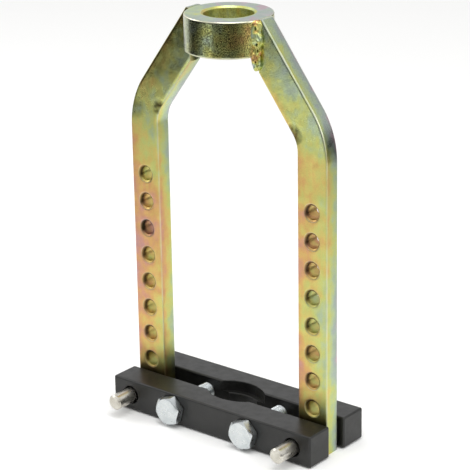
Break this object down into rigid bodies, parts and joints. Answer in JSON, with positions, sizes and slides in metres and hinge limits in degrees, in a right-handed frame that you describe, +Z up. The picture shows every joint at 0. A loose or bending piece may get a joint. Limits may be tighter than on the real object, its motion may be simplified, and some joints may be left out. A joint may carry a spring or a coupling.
{
  "type": "drive shaft puller frame",
  "caption": "Welded puller frame with a round collar, two bent flat legs with rows of pin holes, and a pair of clamp bars closed on a shaft by hex bolts.",
  "frame": {"origin": "middle of the collar's bore, on its axis", "axes": "+Z up along the collar's bore, +X along the clamp bars towards the right leg, -Y towards the bolt heads"},
  "size_m": [0.175, 0.0786, 0.2956],
  "materials": {
    "yellow_chromated_steel": "yellow chromate over zinc, iridescent, semi-gloss",
    "weld_metal": "lumpy weld beads under the same yellow chromate",
    "black_painted_steel": "satin black paint",
    "ground_steel": "smooth ground steel",
    "zinc_plated_steel": "bright clear zinc plating"
  },
  "bodies": {
    "frame": {"collar": "yellow_chromated_steel", "left_leg": "yellow_chromated_steel", "right_leg": "yellow_chromated_steel", "left_front_weld": "weld_metal", "left_rear_weld": "weld_metal", "left_under_weld": "weld_metal", "right_front_weld": "weld_metal", "right_rear_weld": "weld_metal", "right_under_weld": "weld_metal"},
    "front_clamp": {"front_clamp_bar": "black_painted_steel"},
    "rear_clamp": {"rear_clamp_bar": "black_painted_steel", "left_guide_pin": "ground_steel", "right_guide_pin": "ground_steel"},
    "left_bolt": {"left_clamp_bolt": "zinc_plated_steel"},
    "right_bolt": {"right_clamp_bolt": "zinc_plated_steel"}
  },
  "joints": [
    {"name": "front_clamp_slide", "type": "slide", "parent": "frame", "child": "front_clamp", "axis": [0, -1, 0], "range_m": [-0.0013, 0.0215]},
    {"name": "left_bolt_turn", "type": "hinge", "parent": "front_clamp", "child": "left_bolt", "pos_m": [-0.0328, -0.03, -0.2711], "axis": [0, -1, 0], "range_deg": [-268, 4423]},
    {"name": "right_bolt_turn", "type": "hinge", "parent": "front_clamp", "child": "right_bolt", "pos_m": [0.0328, -0.03, -0.2711], "axis": [0, -1, 0], "range_deg": [-268, 4423]},
    {"name": "rear_clamp_slide", "type": "slide", "parent": "frame", "child": "rear_clamp", "axis": [0, 1, 0], "range_m": [-0.0022, 0.056]}
  ],
  "couplings": [
    {"joint": "left_bolt_turn", "follows": "front_clamp_slide", "rad_per_m": 3590.4},
    {"joint": "right_bolt_turn", "follows": "front_clamp_slide", "rad_per_m": 3590.4}
  ]
}
